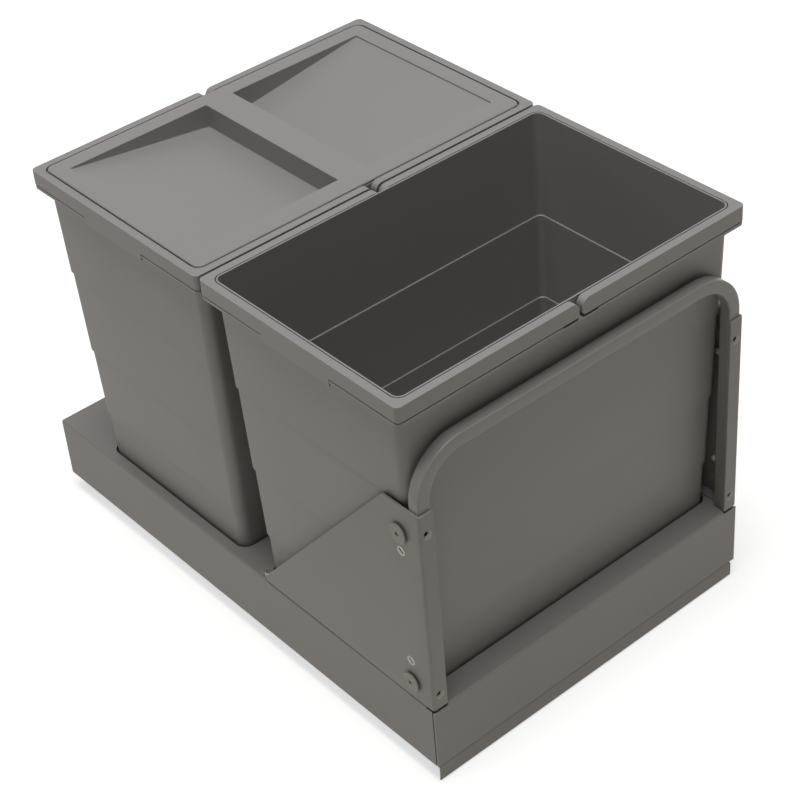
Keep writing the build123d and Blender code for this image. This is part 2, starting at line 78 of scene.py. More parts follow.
def grain_group():
    """Fine bumps of a coat or a textured mould, and a slow drift in tone."""
    tree, start, end = new_group(
        "surface_grain",
        [("Vector", "Vector"), ("Grains per metre", "Float"), ("Depth", "Float")],
        [("Tone", "Float"), ("Speckle", "Float"), ("Normal", "Vector")])
    fine = tree.nodes.new("ShaderNodeTexNoise")
    fine.inputs["Detail"].default_value = grain_detail
    slow = tree.nodes.new("ShaderNodeTexNoise")
    slow.inputs["Scale"].default_value = drifts_per_metre
    slow.inputs["Detail"].default_value = drift_detail
    bump = tree.nodes.new("ShaderNodeBump")
    bump.inputs["Distance"].default_value = grain_height
    link = tree.links.new
    link(start.outputs["Vector"], fine.inputs["Vector"])
    link(start.outputs["Vector"], slow.inputs["Vector"])
    link(start.outputs["Grains per metre"], fine.inputs["Scale"])
    link(start.outputs["Depth"], bump.inputs["Strength"])
    link(fine.outputs["Fac"], bump.inputs["Height"])
    link(slow.outputs["Fac"], end.inputs["Tone"])
    link(fine.outputs["Fac"], end.inputs["Speckle"])
    link(bump.outputs["Normal"], end.inputs["Normal"])
    return tree


def edge_group():
    """Mask of the outer edges, which are painted lighter: partly wear, where a coat thins and a
    moulding is rubbed, and partly a painted highlight.
    """
    tree, start, end = new_group("edge_wear_and_sheen", [("Sharpness", "Float")], [("Mask", "Float")])
    rounded = tree.nodes.new("ShaderNodeBevel")
    rounded.samples = wear_and_sheen_samples
    rounded.inputs["Radius"].default_value = wear_and_sheen_radius
    facing = tree.nodes.new("ShaderNodeNewGeometry")
    dot = tree.nodes.new("ShaderNodeVectorMath")
    dot.operation = "DOT_PRODUCT"
    turned_away = tree.nodes.new("ShaderNodeMath")
    turned_away.operation = "SUBTRACT"
    turned_away.inputs[0].default_value = 1.0
    scaled = tree.nodes.new("ShaderNodeMath")
    scaled.operation = "MULTIPLY"
    scaled.use_clamp = True
    link = tree.links.new
    link(rounded.outputs["Normal"], dot.inputs[0])
    link(facing.outputs["Normal"], dot.inputs[1])
    link(dot.outputs["Value"], turned_away.inputs[1])
    link(turned_away.outputs["Value"], scaled.inputs[0])
    link(start.outputs["Sharpness"], scaled.inputs[1])
    link(scaled.outputs["Value"], end.inputs["Mask"])
    return tree


surface_grain, edge_wear_and_sheen = grain_group(), edge_group()


def coat(name, colour, roughness, grains, depth, edge=1.25, metallic=0.0, drift=0.05):
    """Material with a grained surface, a slight drift in tone, and edges painted lighter, partly as
    wear and partly as a painted highlight.
    """
    material = bpy.data.materials.new(name)
    material.use_nodes = True
    tree = material.node_tree
    shader = tree.nodes["Principled BSDF"]
    shader.inputs["Metallic"].default_value = metallic
    place = tree.nodes.new("ShaderNodeTexCoord")
    grain = tree.nodes.new("ShaderNodeGroup")
    grain.node_tree = surface_grain
    grain.inputs["Grains per metre"].default_value = grains
    grain.inputs["Depth"].default_value = depth
    mask = tree.nodes.new("ShaderNodeGroup")
    mask.node_tree = edge_wear_and_sheen
    mask.inputs["Sharpness"].default_value = wear_and_sheen_sharpness
    tones = tree.nodes.new("ShaderNodeMix")
    tones.data_type = "RGBA"
    tones.inputs["A"].default_value = [channel * (1 - drift) for channel in colour] + [1]
    tones.inputs["B"].default_value = [channel * (1 + drift) for channel in colour] + [1]
    # Edges are painted lighter here, partly as wear and partly as a painted highlight.
    edges = tree.nodes.new("ShaderNodeMix")
    edges.data_type = "RGBA"
    edges.inputs["B"].default_value = [channel * edge for channel in colour] + [1]
    rough = tree.nodes.new("ShaderNodeMapRange")
    rough.inputs["To Min"].default_value = roughness - rough_spread
    rough.inputs["To Max"].default_value = roughness + rough_spread
    link = tree.links.new
    link(place.outputs["Object"], grain.inputs["Vector"])
    link(grain.outputs["Tone"], tones.inputs["Factor"])
    link(tones.outputs["Result"], edges.inputs["A"])
    link(mask.outputs["Mask"], edges.inputs["Factor"])
    link(edges.outputs["Result"], shader.inputs["Base Color"])
    link(grain.outputs["Speckle"], rough.inputs["Value"])
    link(rough.outputs["Result"], shader.inputs["Roughness"])
    link(grain.outputs["Normal"], shader.inputs["Normal"])
    return material


def dress(material, *names):
    """Gives a material to CAD nodes that keep their own shape."""
    for name in names:
        for slot in nodes[name].material_slots:
            slot.material = material


def mesh_object(name, bm, material):
    """Object in the scene from a bmesh, smooth but for the edges that are marked sharp."""
    mesh = bpy.data.meshes.new(name)
    bm.to_mesh(mesh)
    bm.free()
    mesh.materials.append(material)
    for polygon in mesh.polygons:
        polygon.use_smooth = True
    obj = bpy.data.objects.new(name, mesh)
    bpy.context.scene.collection.objects.link(obj)
    return obj


def attach(obj, body, replaced):
    """Lets an object ride on a body and in some CAD nodes' place."""
    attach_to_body(obj, body)
    if replaced:
        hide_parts(*replaced)


def reshaped(name, node, material, body, moved):
    """Copy of a CAD node's mesh with some of its corners moved, in the node's place."""
    bm = bmesh.new()
    bm.from_mesh(nodes[node].data)
    bmesh.ops.remove_doubles(bm, verts=bm.verts[:], dist=merge_reach)
    for vert in bm.verts:
        vert.co = moved(vert.co)
    bmesh.ops.remove_doubles(bm, verts=bm.verts[:], dist=hair)
    bmesh.ops.recalc_face_normals(bm, faces=bm.faces[:])
    bm.normal_update()
    for edge in bm.edges:
        edge.smooth = edge.calc_face_angle(pi) < fold_angle
    attach(mesh_object(name, bm, material), body, [node])


def base_corner(at):
    """A kerb at the front whose top lies a little lower, and at whose ends the floor runs
    back at a slant to the side walls."""
    place = at.copy()
    if at.y > kerb_back and abs(abs(at.x) - kerb_end) < hair:
        place.x = copysign(base_wall, at.x)
    if at.y < kerb_back and kerb_top - kerb_corner - hair < at.z < kerb_top + hair:
        place.z -= kerb_drop
    return place


powder_coat = coat("powder_coat", powder_grey, roughness=0.52, grains=1400.0, depth=0.10)
dress(powder_coat, "floor_pan")
reshaped("folded_base", "base_plate", powder_coat, "base", base_corner)


# ---------------------------------------------------------------- ball runners
# Roll-formed from zinc-plated steel strip, three members a side, with black plastic cages
# that hold the balls. The outer members are riveted to the base, the inner ones welded to
# the tray's side walls.

hands = {"left": -1, "right": 1}
zinc_plate = coat("zinc_plate", (0.56, 0.56, 0.55), roughness=0.38, grains=600.0, depth=0.05,
                  edge=1.15, metallic=1.0, drift=0.08)
cage_plastic = coat("cage_plastic", (0.02, 0.02, 0.02), roughness=0.35, grains=2500.0, depth=0.05)
for hand_name in hands:
    for member in ("cabinet", "middle", "drawer"):
        dress(zinc_plate, f"runner_{member}_{hand_name}")
    dress(cage_plastic, f"cage_outer_{hand_name}", f"cage_inner_{hand_name}")
dress(zinc_plate, "base_rivets")


# ---------------------------------------------------------------- tray
# One folded steel sheet, 1.5 mm: top plate with a cut-out for each bin, side walls, and a
# front wall whose ends turn in round the corners. Relief slots open its front corners, and
# a rail of the same sheet is welded under its rear edge.

tray_low_corner, tray_high_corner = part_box("tray_frame")
side, front, back = tray_high_corner.x, tray_low_corner.y, tray_high_corner.y
tray_low, tray_top = tray_low_corner.z, tray_high_corner.z
tray_sheet = 1.5 * mm
seam_end, seam_wider = 2.3 * mm, 0.5 * mm
relief_end, relief_side, relief_long, relief_wider = 2.2 * mm, 4.1 * mm, 9.5 * mm, 0.7 * mm


def front_corner(at):
    """Wider seam between the front wall and the side walls, and wider relief slots."""
    place, from_side, from_front = at.copy(), side - abs(at.x), at.y - front
    on_top = at.z > tray_top - tray_sheet - hair
    if from_side < tray_sheet + hair and abs(from_front - seam_end) < hair:
        place.y += seam_wider
    if on_top and abs(from_front - relief_end) < hair:
        place.y += relief_wider
    if on_top and from_front < relief_long + hair and abs(from_side - relief_side) < hair:
        place.x -= copysign(relief_wider, at.x)
    return place


dress(powder_coat, "rear_rail")
reshaped("folded_tray", "tray_frame", powder_coat, "pullout", front_corner)


# ---------------------------------------------------------------- bins
# Two equal tubs, injection-moulded in a textured warm grey plastic. Their walls are drafted
# and step in at three ledges, and a flange and a lip stiffen the rim; the rear tub's lip is
# lower, under the lid's edge. Hinge pins stand out of the lip on the two long sides.

sharp_angle = radians(28)
upright_share, crisp_reach = 0.9, 0.2 * mm


def rounded_loop(bm, half_x, half_y, corner, z, centre_y=0.0, steps=8):
    """Edges of a rounded rectangle that lies flat at one height."""
    before = set(bm.edges)
    verts = bmesh.ops.create_grid(bm, x_segments=1, y_segments=1, size=1.0)["verts"]
    bmesh.ops.scale(bm, vec=(half_x, half_y, 1.0), verts=verts)
    bmesh.ops.translate(bm, vec=(0, centre_y, z), verts=verts)
    bmesh.ops.bevel(bm, geom=verts, offset=corner, segments=steps, profile=0.5,
                    affect="VERTICES", material=-1)
    edges = [edge for edge in bm.edges if edge not in before]
    bmesh.ops.delete(bm, geom=edges[0].link_faces[:], context="FACES_ONLY")
    return edges


def cap(bm, edges):
    """Face that closes a loop of edges."""
    bmesh.ops.contextual_create(bm, geom=edges)


def edges_of(made):
    """Edges among the parts that a bmesh call returns."""
    return [part for part in made if isinstance(part, bmesh.types.BMEdge)]


def cut_at(bm, point, normal, clear_inner=False):
    """New edges where a plane meets the mesh; can clear what lies behind it."""
    return edges_of(bmesh.ops.bisect_plane(
        bm, geom=bm.verts[:] + bm.edges[:] + bm.faces[:], dist=on_plane, plane_co=point,
        plane_no=normal, clear_inner=clear_inner)["geom_cut"])


def piece(name, bm, material, body, replaced=(), edge=0.0, segments=2, crisp_y=None):
    """Object from a bmesh, riding on a body. Its sharp edges get a small round, but not the
    upright ones at a distance crisp_y[1] from the line y = crisp_y[0]."""
    bmesh.ops.recalc_face_normals(bm, faces=bm.faces[:])
    bm.normal_update()
    weights = bm.edges.layers.float.new("bevel_weight_edge")
    for part in bm.edges:
        line = part.verts[1].co - part.verts[0].co
        crisp = crisp_y and abs(line.z) > upright_share * line.length and all(
            abs(abs(vert.co.y - crisp_y[0]) - crisp_y[1]) < crisp_reach for vert in part.verts)
        sharp = part.is_manifold and part.calc_face_angle() > sharp_angle
        part[weights] = float(sharp and not crisp)
        part.smooth = not (sharp and crisp)
    obj = mesh_object(name, bm, material)
    if edge:
        bevel = obj.modifiers.new("rounded_edges", "BEVEL")
        bevel.width = edge
        bevel.segments = segments
        bevel.limit_method = "WEIGHT"
        bevel.harden_normals = True
    attach(obj, body, replaced)
    return obj


plastic_grey = (0.290, 0.267, 0.254)
moulded = coat("moulded_plastic", plastic_grey, roughness=0.50, grains=2600.0, depth=0.08, edge=1.2,
               drift=0.04)

ring_low, ring_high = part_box("front_handle_right")
rim = ring_high.z
ring_x, ring_y = ring_high.x, (ring_high.y - ring_low.y) / 2
row_y = {row: sum(corner.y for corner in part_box(f"{row}_handle_right")) / 2
         for row in ("front", "rear")}

bin_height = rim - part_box("front_bin")[0].z
ring_height = 13.8 * mm
lip_inset, lip_thick, lip_corner = 7.8 * mm, 1.5 * mm, 8.0 * mm
lip_low = {"front": 0.0, "rear": 2.6 * mm}
flange_top, flange_bottom = 14.9 * mm, 17.9 * mm
flange_inset, flange_corner = 0.3 * mm, 4.3 * mm
bin_wall, bin_corner, bin_floor, bin_foot = 2.2 * mm, 10.0 * mm, 2.5 * mm, 3.0 * mm
inner_bin_corner = 6.0 * mm
ledges, ledge_wide, ledge_slope = (101.2 * mm, 185.2 * mm, 257.2 * mm), 1.1 * mm, 0.8 * mm
ledge_line = 0.9 * mm
wall_slope = 0.0225
grip_half, notch_inset = 40.2 * mm, 3.4 * mm
dip_half, dip_deep = 18.0 * mm, 1.2 * mm
step_run = 0.1 * mm
pivot_x, pivot_deep = 9.2 * mm, 7.5 * mm
pin_radius, pin_reach, pin_sides = 1.9 * mm, 5.4 * mm, 20
tub_edge = 0.45 * mm


def wall_inset(depth):
    """Outer face of the wall inside the ring's outline, at a depth below the rim."""
    steps = sum(min(max((depth - ledge) / ledge_slope, 0.0), 1.0) for ledge in ledges)
    return lip_inset + max(depth - flange_bottom, 0.0) * wall_slope + steps * ledge_wide


def ends_of(edges):
    """Vertices of some edges, each once and in the edges' order."""
    return list(dict.fromkeys(vert for edge in edges for vert in edge.verts))


def skin(bm, stations, centre_y, closed=False):
    """Skin through rounded rectangles, given by depth below the rim, inset from the rings'
    outline and corner. They stand a metre apart while they are bridged."""
    loops = [rounded_loop(bm, ring_x - inset, ring_y - inset, corner, level, centre_y)
             for level, (_, inset, corner) in enumerate(stations)]
    for one, other in zip(loops, loops[1:] + loops[:1] * closed):
        bmesh.ops.bridge_loops(bm, edges=one + other)
    for loop, (depth, _, _) in zip(loops, stations):
        for vert in ends_of(loop):
            vert.co.z = rim - depth
    return loops


def bin_stations(lip_low):
    """Stations from the foot up the outside, over the rim and down the inside to the floor."""
    foot = bin_height - bin_foot
    outside = [(bin_height, wall_inset(foot) + bin_foot, bin_corner - bin_foot),
               (foot, wall_inset(foot), bin_corner)]
    for ledge in reversed(ledges):
        outside += [(ledge + ledge_slope, wall_inset(ledge + ledge_slope), bin_corner),
                    (ledge, wall_inset(ledge), bin_corner)]
    outside += [
        (flange_bottom, lip_inset, bin_corner),
        (flange_bottom, flange_inset, flange_corner),
        (flange_top, flange_inset, flange_corner),
        (flange_top, lip_inset, lip_corner),
        (lip_low, lip_inset, lip_corner),
        (lip_low, lip_inset + lip_thick, lip_corner - lip_thick)]
    inside = []
    for ledge in ledges:
        for depth, thicker in ((ledge, ledge_wide - ledge_line), (ledge + ledge_slope, 0.0)):
            inset = wall_inset(depth) + bin_wall + thicker
            inside.append((depth - bin_wall, inset, inner_bin_corner))
    floor = bin_height - bin_floor
    inside.append((floor, wall_inset(floor) + bin_wall, inner_bin_corner))
    return outside + inside


for row, centre_y in row_y.items():
    bm = bmesh.new()
    loops = skin(bm, bin_stations(lip_low[row]), centre_y)
    cap(bm, loops[0])
    cap(bm, loops[-1])
    for way in (-1, 1):
        for offset in (grip_half, grip_half + step_run):
            cut_at(bm, (0, centre_y + way * offset, 0), (0, 1, 0))
        for offset in (dip_half, dip_half + step_run):
            cut_at(bm, (way * offset, 0, 0), (1, 0, 0))
    for vert in bm.verts:
        depth, out_x, out_y = rim - vert.co.z, abs(vert.co.x), abs(vert.co.y - centre_y)
        on_flange = flange_top - hair < depth < flange_bottom + hair
        if on_flange and out_x > ring_x - 2 * flange_inset and out_y < grip_half + hair:
            vert.co.x -= copysign(notch_inset - flange_inset, vert.co.x)
        on_long_side = out_x < dip_half + hair and out_y > ring_y - 1.5 * lip_inset
        if abs(depth - flange_top) < hair and on_long_side:
            vert.co.z -= dip_deep
    for hand in hands.values():
        for way in (-1, 1):
            pin_y = centre_y + way * (ring_y - lip_inset - lip_thick / 2 + pin_reach / 2)
            pin_place = Matrix.Translation((hand * pivot_x, pin_y, rim - pivot_deep))
            lying = pin_place @ Matrix.Rotation(radians(90), 4, "X")
            bmesh.ops.create_cone(
                bm, cap_ends=True, segments=pin_sides, radius1=pin_radius, radius2=pin_radius,
                depth=pin_reach + lip_thick, matrix=lying)
    piece(f"{row}_tub", bm, moulded, f"{row}_bin", [f"{row}_bin"], edge=tub_edge,
          crisp_y=(centre_y, grip_half))


# ---------------------------------------------------------------- handles
# Two half rings on each bin, moulded in the bin's plastic as channels open below. They lie
# round the lip, turn up on its hinge pins, and have a grip skirt under the cross bar. Their
# ends are rounded so that they clear each other.

ring_bar, ring_corner, inner_corner = 7.0 * mm, 4.5 * mm, 8.5 * mm
ring_top = {"front": 0.0, "rear": 0.4 * mm}
channel_wall, channel_roof, channel_start = 1.8 * mm, 3.2 * mm, 22.0 * mm
handle_end = 1.6 * mm
nose_top, nose_bottom, nose_steps = 6.8 * mm, 3.5 * mm, 8
skirt_half, skirt_drop = 40.0 * mm, 6.5 * mm
ring_edge = 0.6 * mm
parallel = 0.999


def edges_along(bm, axis, **at):
    """Edges along one axis, whose given coordinates have the given values."""
    return [edge for edge in bm.edges
            if abs((edge.verts[0].co - edge.verts[1].co).normalized()[axis]) > parallel
            and all(abs(vert.co["xyz".index(name)] - value) < hair
                    for vert in edge.verts for name, value in at.items())]


for row, centre_y in row_y.items():
    for side_name, hand in hands.items():
        bm = bmesh.new()
        stations = [
            (ring_height, 0.0, ring_corner), (ring_top[row], 0.0, ring_corner),
            (ring_top[row], ring_bar, inner_corner), (ring_height, ring_bar, inner_corner),
            (ring_height, ring_bar - channel_wall, inner_corner),
            (channel_roof, ring_bar - channel_wall, inner_corner),
            (channel_roof, channel_wall, ring_corner),
            (ring_height, channel_wall, ring_corner)]
        skin(bm, stations, centre_y, closed=True)
        ends = cut_at(bm, (handle_end, 0, 0), (1, 0, 0), clear_inner=True)
        bmesh.ops.edgeloop_fill(bm, edges=ends)
        for offset in (0.0, step_run):
            cut_at(bm, (channel_start + offset, 0, 0), (1, 0, 0))
            for way in (-1, 1):
                cut_at(bm, (0, centre_y + way * (skirt_half + offset), 0), (0, 1, 0))
        for vert in bm.verts:
            depth, out_y = rim - vert.co.z, abs(vert.co.y - centre_y)
            if abs(depth - channel_roof) < hair and vert.co.x < channel_start + hair:
                vert.co.z = rim - ring_height
            outer = vert.co.x > ring_x - channel_wall - hair
            if abs(depth - ring_height) < hair and outer and out_y < skirt_half + hair:
                vert.co.z -= skirt_drop
        bmesh.ops.remove_doubles(bm, verts=bm.verts[:], dist=merge_reach)
        bmesh.ops.dissolve_degenerate(bm, edges=bm.edges[:], dist=merge_reach)
        for depth, radius in ((ring_top[row], nose_top), (ring_height, nose_bottom)):
            tips = edges_along(bm, 1, x=handle_end, z=rim - depth)
            bmesh.ops.bevel(bm, geom=tips, offset=radius, segments=nose_steps, profile=0.5,
                            affect="EDGES", clamp_overlap=True, material=-1)
        if hand < 0:
            bmesh.ops.scale(bm, vec=(-1, 1, 1), verts=bm.verts[:])
        name = f"{row}_handle_{side_name}"
        piece(f"{row}_half_ring_{side_name}", bm, moulded, name, [name],
              edge=ring_edge, segments=3, crisp_y=(centre_y, skirt_half))


# ---------------------------------------------------------------- lid
# Moulded in the same plastic, 2.2 mm thick. It lies on the rear bin's lip, flush with the
# rings, and has two recesses whose floors slope down to a bar that is left between them as
# a grip.

lid_play, lid_wall, lid_behind = 0.8 * mm, 2.2 * mm, 0.6 * mm
lid_round, lid_steps, lid_edge = 1.2 * mm, 6, 0.5 * mm
bar_half = 14.5 * mm
recess_end = ring_x - 24.5 * mm
recess_front, recess_rear = -ring_y + 28.5 * mm, ring_y - 24.3 * mm
recess_deep, recess_shallow = 21.5 * mm, 1.8 * mm

lid_inset = lip_inset + lid_play
lid_y = row_y["rear"]


def verts_of(made):
    """Vertices among the parts that a bmesh call returns."""
    return [part for part in made if isinstance(part, bmesh.types.BMVert)]


bm = bmesh.new()
cap(bm, rounded_loop(bm, ring_x - lid_inset, ring_y - lid_inset + lid_behind / 2,
                     lip_corner - lid_play, rim, lid_y + lid_behind / 2))
for x in (bar_half, recess_end):
    for hand in hands.values():
        cut_at(bm, (hand * x, 0, 0), (1, 0, 0))
for y in (recess_front, recess_rear):
    cut_at(bm, (0, lid_y + y, 0), (0, 1, 0))
for hand in hands.values():
    recess = [face for face in bm.faces
              if bar_half < hand * face.calc_center_median().x < recess_end
              and recess_front < face.calc_center_median().y - lid_y < recess_rear]
    sunk = bmesh.ops.extrude_face_region(bm, geom=recess)["geom"]
    bmesh.ops.delete(bm, geom=[face for face in recess if face.is_valid], context="FACES_ONLY")
    for vert in verts_of(sunk):
        along = (hand * vert.co.x - bar_half) / (recess_end - bar_half)
        vert.co.z -= recess_deep + (recess_shallow - recess_deep) * along
bmesh.ops.recalc_face_normals(bm, faces=bm.faces[:])
if sum(face.normal.z for face in bm.faces) < 0:
    bmesh.ops.reverse_faces(bm, faces=bm.faces[:])
outline = [edge for edge in bm.edges if edge.is_boundary]
bmesh.ops.solidify(bm, geom=bm.faces[:], thickness=lid_wall)
top_outline = [edge for edge in outline if all(abs(vert.co.z - rim) < hair for vert in edge.verts)]
bmesh.ops.bevel(bm, geom=top_outline, offset=lid_round, segments=lid_steps, profile=0.5,
                affect="EDGES", material=-1)
piece("rear_lid", bm, moulded, "lid", ["bin_lid"], edge=lid_edge, segments=3)


# ---------------------------------------------------------------- brackets
# Cut from 2 mm sheet steel and folded: a panel with a sloped rear edge, a flange at the
# front for the door with two holes countersunk through its coat, and a foot that is
# screwed to the tray.

sheet, fold_radius, fold_steps = 2.0 * mm, 2.5 * mm, 6
corner_round, corner_steps, bracket_edge = 3.0 * mm, 6, 0.25 * mm
panel_lift, panel_deep, panel_heel, panel_foot = 1.0 * mm, 41.3 * mm, 7.0 * mm, 213.5 * mm
flange_wide, foot_wide, foot_start, foot_tail = 14.6 * mm, 10.1 * mm, 14.0 * mm, 12.5 * mm
bracket_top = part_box("bracket_right")[1].z
hole_inset = 7.7 * mm
hole_heights = (tray_top + 15.0 * mm, bracket_top - 20.0 * mm)
door_hole, door_sink = 2.1 * mm, 4.2 * mm
disc_setback = 23.5 * mm
disc_heights = (tray_top + 18.5 * mm, bracket_top - 27.0 * mm)
lock_heights = (disc_heights[0] + 22.5 * mm, disc_heights[1] - 18.5 * mm)
neck_hole, lock_hole, lock_sink, foot_hole = 4.1 * mm, 2.1 * mm, 4.45 * mm, 1.5 * mm
foot_hole_inset = 6.1 * mm
foot_hole_places = (front + 40.0 * mm, front + panel_foot + 5.5 * mm)
hole_margin, sink_margin, rim_margin = 1.2, 1.15, 1.05
centre_margin, corner_margin = 0.2, 1.5
bare_steel = coat("bare_steel", (0.30, 0.285, 0.25), roughness=0.42, grains=1500.0, depth=0.05,
                  edge=1.3, metallic=0.35)


def open_hole(bm, centre, normal, radius, room=None, sides=24):
    """Round hole in a flat sheet: a square round it is cut out and bridged to a circle,
    whose edges are returned."""
    centre, normal = Vector(centre), Vector(normal)
    turn = normal.to_track_quat("Z", "Y").to_matrix()
    room = room or hole_margin * radius
    for axis in (turn.col[0], turn.col[1]):
        for way in (-1, 1):
            flat = [face for face in bm.faces if abs(face.normal.dot(normal)) > parallel
                    and abs((face.calc_center_median() - centre).dot(normal)) < hair]
            around = dict.fromkeys(part for face in flat for part in [*face.verts, *face.edges])
            bmesh.ops.bisect_plane(bm, geom=flat + list(around), dist=on_plane,
                                   plane_co=centre + way * room * axis, plane_no=axis)
    near = [face for face in bm.faces
            if (face.calc_center_median() - centre).length < centre_margin * room
            and all((vert.co - centre).length < corner_margin * room for vert in face.verts)]
    border = near[0].edges[:]
    bmesh.ops.delete(bm, geom=near, context="FACES_ONLY")
    split = bmesh.ops.subdivide_edges(bm, edges=border, cuts=sides // 4 - 1)["geom_split"]
    border = edges_of(split)
    place = Matrix.Translation(centre) @ turn.to_4x4()
    circle = bmesh.ops.create_circle(bm, cap_ends=False, segments=sides, radius=radius,
                                     matrix=place @ Matrix.Translation((0, 0, 1)))["verts"]
    loop = list(dict.fromkeys(edge for vert in circle for edge in vert.link_edges))
    bmesh.ops.bridge_loops(bm, edges=border + loop)
    bmesh.ops.translate(bm, vec=-normal, verts=circle)
    return loop


def countersink(bm, centre, radius, wide):
    """Widens a hole's edge on the face that its centre lies in, down to bare metal."""
    centre = Vector(centre)
    ring = [vert for vert in bm.verts if abs((vert.co - centre).length - radius) < hair]
    bmesh.ops.scale(bm, vec=[wide / radius] * 3, space=Matrix.Translation(-centre), verts=ring)
    walls = {face for vert in ring for face in vert.link_faces
             if all((corner.co - centre).length < rim_margin * wide for corner in face.verts)}
    for face in walls:
        face.material_index = 1


def pull(bm, edges, vector):
    """Extrudes edges along a vector and returns the new ones."""
    made = bmesh.ops.extrude_edge_only(bm, edges=edges)["geom"]
    bmesh.ops.translate(bm, vec=vector, verts=verts_of(made))
    return edges_of(made)


for hand_name, hand in hands.items():
    bm = bmesh.new()
    heel, toe = front + panel_foot, front + foot_start
    outline = [
        (front, tray_top + panel_lift), (front, bracket_top), (front + panel_deep, bracket_top),
        (heel, tray_top + panel_heel), (heel, tray_top), (toe, tray_top),
        (toe, tray_top + panel_lift)]
    bmesh.ops.contextual_create(bm, geom=[bm.verts.new((side, y, z)) for y, z in outline])
    pull(bm, edges_along(bm, 2, x=side, y=front), (-flange_wide, 0, 0))
    pull(bm, edges_along(bm, 1, x=side, z=tray_top), (-foot_wide, 0, 0))
    folds = edges_along(bm, 2, x=side, y=front) + edges_along(bm, 1, x=side, z=tray_top)
    bmesh.ops.bevel(bm, geom=folds, offset=fold_radius, segments=fold_steps, profile=0.5,
                    affect="EDGES", material=-1)
    tail = [edge for edge in edges_along(bm, 0, y=heel, z=tray_top)
            if edge.calc_length() > fold_radius]
    tail_verts = verts_of(bmesh.ops.extrude_edge_only(bm, edges=tail)["geom"])
    bmesh.ops.translate(bm, vec=(0, foot_tail, 0), verts=tail_verts)
    peak_place = Vector((side, front + panel_deep, bracket_top))
    peak = [vert for vert in bm.verts if (vert.co - peak_place).length < hair]
    bmesh.ops.bevel(bm, geom=tail_verts + peak, offset=corner_round, segments=corner_steps,
                    profile=0.5, affect="VERTICES", material=-1)
    door_holes = [(side - hole_inset, front, z) for z in hole_heights]
    lock_holes = [(side, front + disc_setback, z) for z in lock_heights]
    for place in door_holes:
        open_hole(bm, place, (0, -1, 0), door_hole, sink_margin * door_sink)
    for place in lock_holes:
        open_hole(bm, place, (1, 0, 0), lock_hole, sink_margin * lock_sink)
    for z in disc_heights:
        open_hole(bm, (side, front + disc_setback, z), (1, 0, 0), neck_hole)
    for y in foot_hole_places:
        open_hole(bm, (side - foot_hole_inset, y, tray_top), (0, 0, -1), foot_hole)
    bmesh.ops.recalc_face_normals(bm, faces=bm.faces[:])
    if sum(face.calc_area() * face.normal.x for face in bm.faces) < 0:
        bmesh.ops.reverse_faces(bm, faces=bm.faces[:])
    bmesh.ops.solidify(bm, geom=bm.faces[:], thickness=sheet)
    for place in door_holes:
        countersink(bm, place, door_hole, door_sink)
    for place in lock_holes:
        countersink(bm, place, lock_hole, lock_sink)
    if hand < 0:
        bmesh.ops.scale(bm, vec=(-1, 1, 1), verts=bm.verts[:])
    bracket = piece(f"side_bracket_{hand_name}", bm, powder_coat, "pullout",
                    [f"bracket_{hand_name}"], edge=bracket_edge)
    bracket.data.materials.append(bare_steel)


# ---------------------------------------------------------------- bow
# Rectangular steel tube, 12 by 11 mm, bent to two wide corners and powder-coated. Its legs
# stand inside the bracket flanges, with a bore behind each of their holes.

tube_wide, tube_deep = 12.0 * mm, 11.0 * mm
tube_edge, tube_edge_steps = 1.2 * mm, 5
bend_radius, bend_steps = 46.0 * mm, 20
bore, tube_wall, hollow, hollow_deep = 2.2 * mm, 1.2 * mm, 3.8 * mm, 8.0 * mm
bow_low, bow_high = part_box("door_bow")
leg_x, leg_y = bow_high.x - tube_wide / 2, (bow_low.y + bow_high.y) / 2
bend_x, bend_z = bow_high.x - bend_radius, bow_high.z - bend_radius
tube_coat = coat("tube_coat", powder_grey, roughness=0.36, grains=1400.0, depth=0.06, edge=1.3)


def bend(bm, edges, centre):
    """Turns a loop of edges a quarter round towards -X and returns the new loop."""
    return edges_of(bmesh.ops.spin(
        bm, geom=ends_of(edges) + edges, cent=centre, axis=(0, -1, 0), angle=radians(90),
        steps=bend_steps, use_duplicate=False)["geom_last"])


bm = bmesh.new()
start = rounded_loop(bm, tube_wide / 2, tube_deep / 2, tube_edge, bow_low.z, steps=tube_edge_steps)
bmesh.ops.translate(bm, vec=(leg_x, leg_y, 0), verts=bm.verts[:])
run = pull(bm, start, (0, 0, bend_z - bow_low.z))
run = bend(bm, run, (bend_x, 0, bend_z))
run = pull(bm, run, (-2 * bend_x, 0, 0))
run = bend(bm, run, (-bend_x, 0, bend_z))
run = pull(bm, run, (0, 0, bow_low.z - bend_z))
cap(bm, start)
cap(bm, run)
bm.normal_update()
for hand in hands.values():
    for z in hole_heights:
        centre = Vector((hand * (side - hole_inset), bow_low.y, z))
        mouth = open_hole(bm, centre, (0, -1, 0), bore)
        room = pull(bm, pull(bm, mouth, (0, tube_wall, 0)), (0, 0, 0))
        wider = hollow / bore
        bmesh.ops.scale(bm, vec=(wider, 1, wider), space=Matrix.Translation(-centre),
                        verts=ends_of(room))
        cap(bm, pull(bm, room, (0, hollow_deep, 0)))
piece("bow_tube", bm, tube_coat, "pullout", ["door_bow"])


# ---------------------------------------------------------------- adjusters and screws
# Die-cast discs with a cross recess turn in the bracket panels and shift the door, each beside
# a slotted lock screw with a nut behind; pan-head screws hold the brackets' feet. The ends of
# the front wall and of the rear rail are clinched to the tray's side walls.

cast_grey = coat("cast_grey", (0.270, 0.262, 0.225), roughness=0.45, grains=1500.0, depth=0.12,
                 edge=1.3)
dull_plate = coat("dull_plate", (0.36, 0.35, 0.31), roughness=0.40, grains=1500.0, depth=0.05,
                  edge=1.3, metallic=0.6)
# The nuts' zinc is painted lighter than the plating, as painted light on nut ends that sit in
# shade.
zinc_with_painted_light = coat("zinc_with_painted_light", (0.66, 0.65, 0.61), roughness=0.40, grains=1500.0, depth=0.05,
                   edge=1.2, metallic=0.2)


